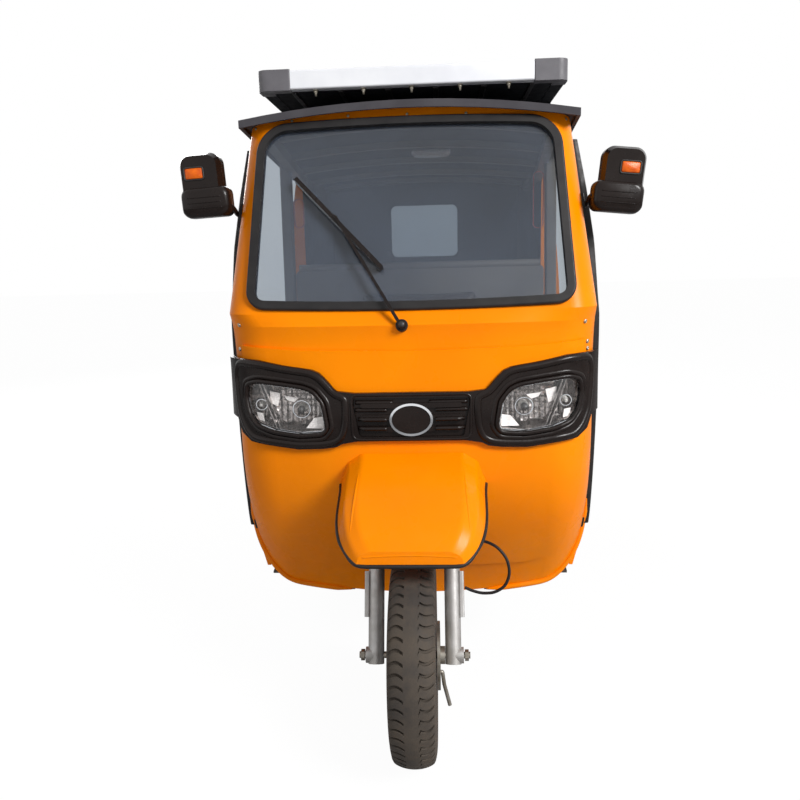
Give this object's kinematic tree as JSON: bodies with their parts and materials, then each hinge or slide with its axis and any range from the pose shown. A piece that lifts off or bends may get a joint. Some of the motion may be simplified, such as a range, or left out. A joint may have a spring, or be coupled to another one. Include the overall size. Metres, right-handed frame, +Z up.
{
  "type": "electric passenger three-wheeler",
  "caption": "Open-sided electric passenger tricycle with a steered front wheel under a fixed fender, flat windscreen, roof rack, rear bench and tail lid.",
  "frame": {"origin": "on the ground, in the middle of the overall footprint", "axes": "+Z up; -Y forward, the way it drives; +X to the vehicle's left"},
  "size_m": [1.2782, 2.64, 1.798],
  "materials": {
    "body_orange": "gloss",
    "frame_grey": "satin",
    "rack_silver": "satin",
    "trim_black": "matte",
    "roof_grey": "satin",
    "cap_grey": "matte",
    "rubber_black": "matte",
    "tyre": "matte",
    "rim_silver": "satin",
    "fork_metal": "satin",
    "axle_steel": "satin",
    "chrome": "polished",
    "clear_glass": "gloss",
    "lens_clear": "gloss",
    "lamp_red": "gloss",
    "mirror": "gloss",
    "seat_vinyl": "satin",
    "inner_panel": "satin",
    "battery": "satin",
    "deck": "matte",
    "strap_red": "matte"
  },
  "bodies": {
    "chassis": {"badge_ring": "chrome", "battery_pack": "battery", "bench_back": "seat_vinyl", "bench_cushion": "seat_vinyl", "bench_frame": "inner_panel", "cabin_frame": "inner_panel", "cowl_panel": "body_orange", "dashboard": "trim_black", "door_edge_trims": "rubber_black", "driver_back": "seat_vinyl", "driver_cushion": "seat_vinyl", "driver_seat_box": "inner_panel", "floor_pan": "inner_panel", "front_cowl": "body_orange", "front_fender": "body_orange", "front_mask": "trim_black", "grab_straps": "strap_red", "grille": "trim_black", "headlamp_bowls": "chrome", "headlamp_lenses": "lens_clear", "ladder_frame": "frame_grey", "leaf_springs": "frame_grey", "mirror_glasses": "mirror", "mirror_housings": "trim_black", "mirror_mounts": "trim_black", "partition": "inner_panel", "rack_caps": "cap_grey", "rack_front_bar": "rack_silver", "rack_rails": "deck", "rack_slats": "deck", "rear_axle": "axle_steel", "rear_bumper": "frame_grey", "rear_glass": "clear_glass", "rear_panel": "body_orange", "rear_quarters": "body_orange", "roof_shell": "roof_grey", "screen_frame": "body_orange", "side_sills": "body_orange", "tail_lamps": "lamp_red", "wheel_houses": "inner_panel", "windscreen": "clear_glass", "windscreen_seal": "rubber_black", "wiper_base": "rubber_black"},
    "steering": {"fork": "fork_metal", "front_axle": "axle_steel", "brake_plate": "axle_steel", "handlebar": "axle_steel", "handlebar_grips": "rubber_black", "brake_cable": "rubber_black"},
    "front_wheel": {"front_tyre": "tyre", "front_rim": "rim_silver"},
    "rear_wheel_left": {"rear_tyre_left": "tyre", "rear_rim_left": "rim_silver"},
    "rear_wheel_right": {"rear_tyre_right": "tyre", "rear_rim_right": "rim_silver"},
    "tail_lid": {"rear_hatch": "body_orange"},
    "wiper_arm": {"wiper": "trim_black"}
  },
  "joints": [
    {"name": "steering", "type": "hinge", "parent": "chassis", "child": "steering", "pos_m": [0, -1.01546, 0.25173], "axis": [0, 0.4067, 0.9135], "range_deg": [-38, 38]},
    {"name": "front_wheel_spin", "type": "hinge", "parent": "steering", "child": "front_wheel", "pos_m": [0, -1.052, 0.268], "axis": [1, 0, 0], "continuous": true},
    {"name": "rear_wheel_left_spin", "type": "hinge", "parent": "chassis", "child": "rear_wheel_left", "pos_m": [0.54, 0.948, 0.268], "axis": [1, 0, 0], "continuous": true},
    {"name": "rear_wheel_right_spin", "type": "hinge", "parent": "chassis", "child": "rear_wheel_right", "pos_m": [-0.54, 0.948, 0.268], "axis": [1, 0, 0], "continuous": true},
    {"name": "tail_lid_hinge", "type": "hinge", "parent": "chassis", "child": "tail_lid", "pos_m": [0, 1.294, 1.077], "axis": [1, 0, 0], "range_deg": [0, 95]},
    {"name": "wiper_sweep", "type": "hinge", "parent": "chassis", "child": "wiper_arm", "pos_m": [-0.02, -0.88932, 1.11322], "axis": [0, -0.9458, 0.3249], "range_deg": [-75, 0]}
  ]
}
